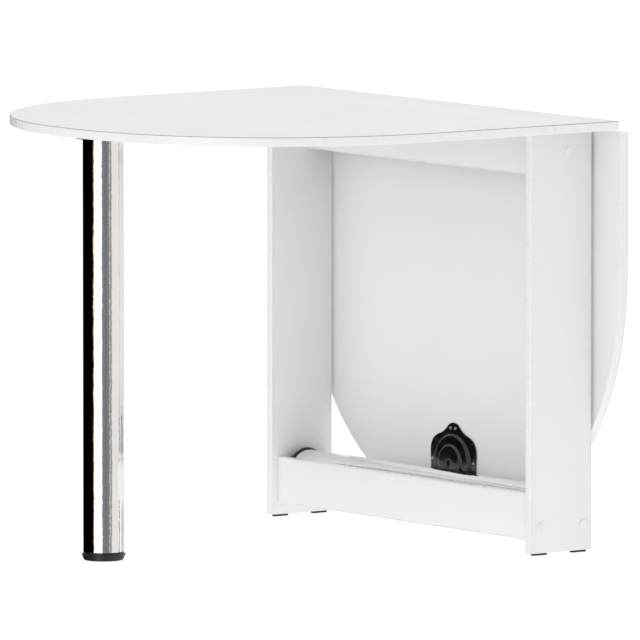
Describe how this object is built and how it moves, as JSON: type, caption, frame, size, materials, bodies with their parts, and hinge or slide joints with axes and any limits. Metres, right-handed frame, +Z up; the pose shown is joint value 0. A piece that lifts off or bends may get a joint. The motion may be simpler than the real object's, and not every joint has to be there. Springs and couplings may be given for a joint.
{
  "type": "drop-leaf table",
  "caption": "White board drop-leaf table: narrow base and top strip, D-shaped leaves hinged on both long edges, screw-in chromed tube legs with black feet, a tray that stows a leg.",
  "frame": {"origin": "on the floor, under the centre of the overall box with leaf A raised and leaf B hanging", "axes": "+X along the hinges to the right panel, +Y from raised leaf A at the front to hanging leaf B at the rear, +Z up"},
  "size_m": [0.915, 0.862, 0.75],
  "materials": {
    "white_board": "satin white melamine-faced chipboard",
    "white_edge_band": "semi-gloss white plastic edging",
    "white_cap": "white plastic screw caps",
    "chrome_tube": "polished chrome plate on steel tube",
    "black_pressed_steel": "gloss black enamel on pressed steel",
    "black_plastic": "satin black moulded plastic",
    "zinc_steel": "bright zinc-plated steel"
  },
  "bodies": {
    "base": {"corner_angle_left": "zinc_steel", "corner_angle_right": "zinc_steel", "glide_left_front": "black_plastic", "glide_left_rear": "black_plastic", "glide_right_front": "black_plastic", "glide_right_rear": "black_plastic", "hinge_leaf_a_fixed_plate": "zinc_steel", "hinge_leaf_a_pin": "zinc_steel", "hinge_leaf_b_fixed_plate": "zinc_steel", "hinge_leaf_b_pin": "zinc_steel", "lower_front_rail": "white_board", "lower_rear_rail": "white_board", "panel_screw_left_lower_front": "zinc_steel", "panel_screw_left_lower_rear": "zinc_steel", "panel_screw_left_upper": "zinc_steel", "panel_screw_right_lower_front": "zinc_steel", "panel_screw_right_lower_rear": "zinc_steel", "panel_screw_right_upper": "zinc_steel", "screw_cap_left_lower_front": "white_cap", "screw_cap_left_lower_rear": "white_cap", "screw_cap_left_upper": "white_cap", "screw_cap_right_lower_front": "white_cap", "screw_cap_right_lower_rear": "white_cap", "screw_cap_right_upper": "white_cap", "side_panel_left": "white_board", "side_panel_right": "white_board", "top_strip": "white_board", "top_strip_band_left": "white_edge_band", "top_strip_band_right": "white_edge_band", "tray_shelf": "white_board", "upper_rail": "white_board"},
    "leaf_a": {"hinge_leaf_a_moving_plate": "zinc_steel", "leaf_a_board": "white_board", "leaf_a_edge_band": "white_edge_band", "leaf_a_leg_plate": "black_pressed_steel", "leaf_a_plate_screw_peak_left": "zinc_steel", "leaf_a_plate_screw_peak_right": "zinc_steel", "leaf_a_plate_screw_side_left": "zinc_steel", "leaf_a_plate_screw_side_right": "zinc_steel"},
    "leg_a": {"leg_a_foot_bush": "black_plastic", "leg_a_head_plug": "black_plastic", "leg_a_stud": "zinc_steel", "leg_a_tube": "chrome_tube"},
    "foot_a": {"leg_a_foot": "black_plastic"},
    "leaf_b": {"hinge_leaf_b_moving_plate": "zinc_steel", "leaf_b_board": "white_board", "leaf_b_edge_band": "white_edge_band", "leaf_b_leg_plate": "black_pressed_steel", "leaf_b_plate_screw_peak_left": "zinc_steel", "leaf_b_plate_screw_peak_right": "zinc_steel", "leaf_b_plate_screw_side_left": "zinc_steel", "leaf_b_plate_screw_side_right": "zinc_steel"},
    "leg_b": {"leg_b_foot_bush": "black_plastic", "leg_b_head_plug": "black_plastic", "leg_b_stud": "zinc_steel", "leg_b_tube": "chrome_tube"},
    "foot_b": {"leg_b_foot": "black_plastic"}
  },
  "joints": [
    {"name": "leaf_a_fold", "type": "hinge", "parent": "base", "child": "leaf_a", "pos_m": [0, 0.274, 0.73], "axis": [1, 0, 0], "range_deg": [0, 90]},
    {"name": "leg_a_release", "type": "hinge", "parent": "leaf_a", "child": "leg_a", "pos_m": [0.2065, -0.378, 0.727], "axis": [-0.1762, -0.9844, 0], "range_deg": [0, 180]},
    {"name": "foot_a_adjust", "type": "slide", "parent": "leg_a", "child": "foot_a", "axis": [0, 0, -1], "range_m": [0, 0.01]},
    {"name": "leaf_b_fold", "type": "hinge", "parent": "base", "child": "leaf_b", "pos_m": [0, 0.411, 0.73], "axis": [1, 0, 0], "range_deg": [0, 90]},
    {"name": "leg_b_lift", "type": "slide", "parent": "base", "child": "leg_b", "axis": [0, 0, 1], "range_m": [0, 0.45]},
    {"name": "foot_b_adjust", "type": "slide", "parent": "leg_b", "child": "foot_b", "axis": [-1, 0, 0.0041], "range_m": [0, 0.002]}
  ],
  "couplings": [
    {"joint": "leg_a_release", "follows": "leaf_a_fold", "ratio": 2}
  ]
}
